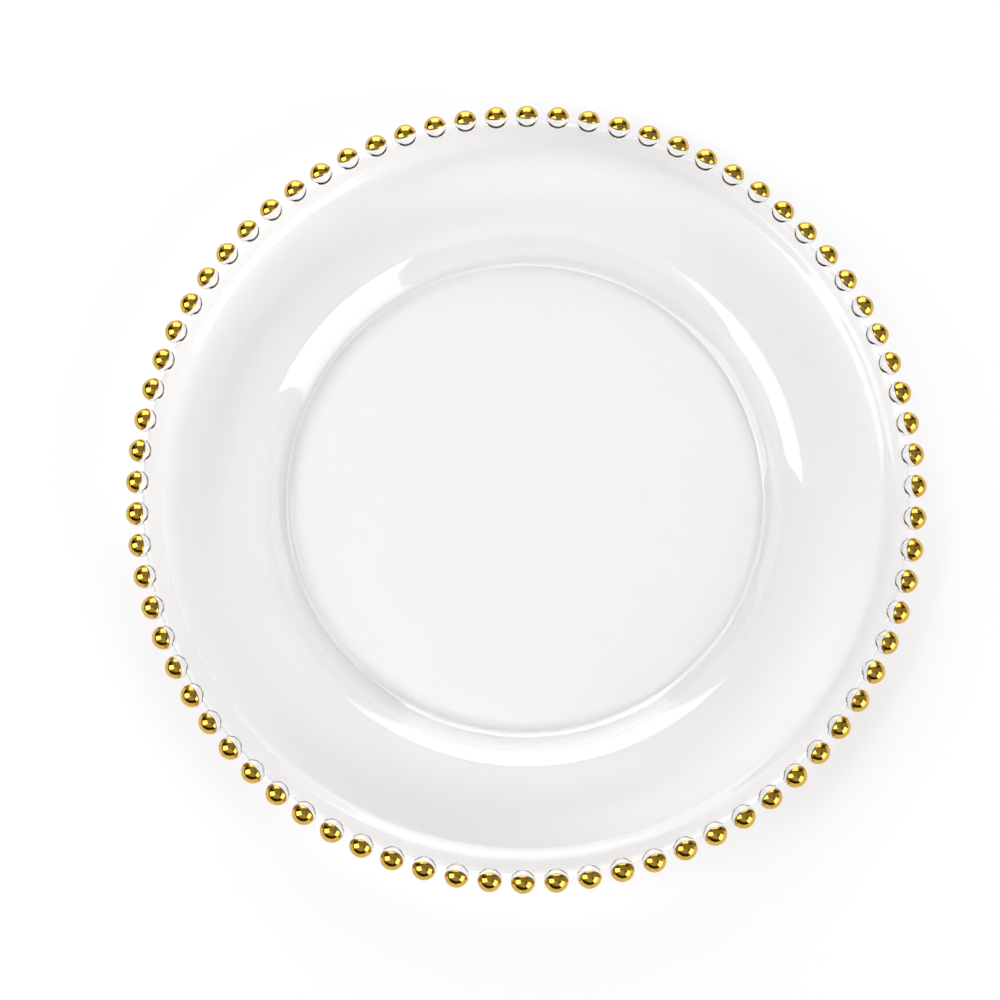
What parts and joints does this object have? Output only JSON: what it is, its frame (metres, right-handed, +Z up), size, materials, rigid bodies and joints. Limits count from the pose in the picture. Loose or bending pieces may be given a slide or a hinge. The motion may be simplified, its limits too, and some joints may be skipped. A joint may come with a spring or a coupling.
{
  "type": "beaded glass plate",
  "caption": "Round clear pressed-glass charger plate with a flat well, steep cove, wide sloping rim and a ring of gold-capped glass beads along its edge.",
  "frame": {"origin": "on the table, under the middle of the plate", "axes": "+Z up out of the well along the plate's axis; X and Y level, with the gap between two beads on +X"},
  "size_m": [0.321, 0.321, 0.0286],
  "materials": {
    "clear_glass": "clear pressed soda-lime glass, fire-polished",
    "fired_gold": "bright gold fired onto glass"
  },
  "bodies": {
    "root": {"pressed_glass_plate": "clear_glass", "gold_caps_01_02": "fired_gold", "gold_caps_03_04": "fired_gold", "gold_caps_05_06": "fired_gold", "gold_caps_07_08": "fired_gold", "gold_caps_09_10": "fired_gold", "gold_caps_11_12": "fired_gold", "gold_caps_13_14": "fired_gold", "gold_caps_15_16": "fired_gold", "gold_caps_17_18": "fired_gold", "gold_caps_19_20": "fired_gold", "gold_caps_21_22": "fired_gold", "gold_caps_23_24": "fired_gold", "gold_caps_25_26": "fired_gold", "gold_caps_27_28": "fired_gold", "gold_caps_29_30": "fired_gold", "gold_caps_31_32": "fired_gold", "gold_caps_33_34": "fired_gold", "gold_caps_35_36": "fired_gold", "gold_caps_37_38": "fired_gold", "gold_caps_39_40": "fired_gold", "gold_caps_41_42": "fired_gold", "gold_caps_43_44": "fired_gold", "gold_caps_45_46": "fired_gold", "gold_caps_47_48": "fired_gold", "gold_caps_49_50": "fired_gold", "gold_caps_51_52": "fired_gold", "gold_caps_53_54": "fired_gold", "gold_caps_55_56": "fired_gold", "gold_caps_57_58": "fired_gold", "gold_caps_59_60": "fired_gold", "gold_caps_61_62": "fired_gold", "gold_caps_63_64": "fired_gold", "gold_caps_65_66": "fired_gold", "gold_caps_67_68": "fired_gold", "gold_caps_69_70": "fired_gold", "gold_caps_71_72": "fired_gold", "gold_caps_73_74": "fired_gold", "gold_caps_75_76": "fired_gold"}
  },
  "joints": []
}
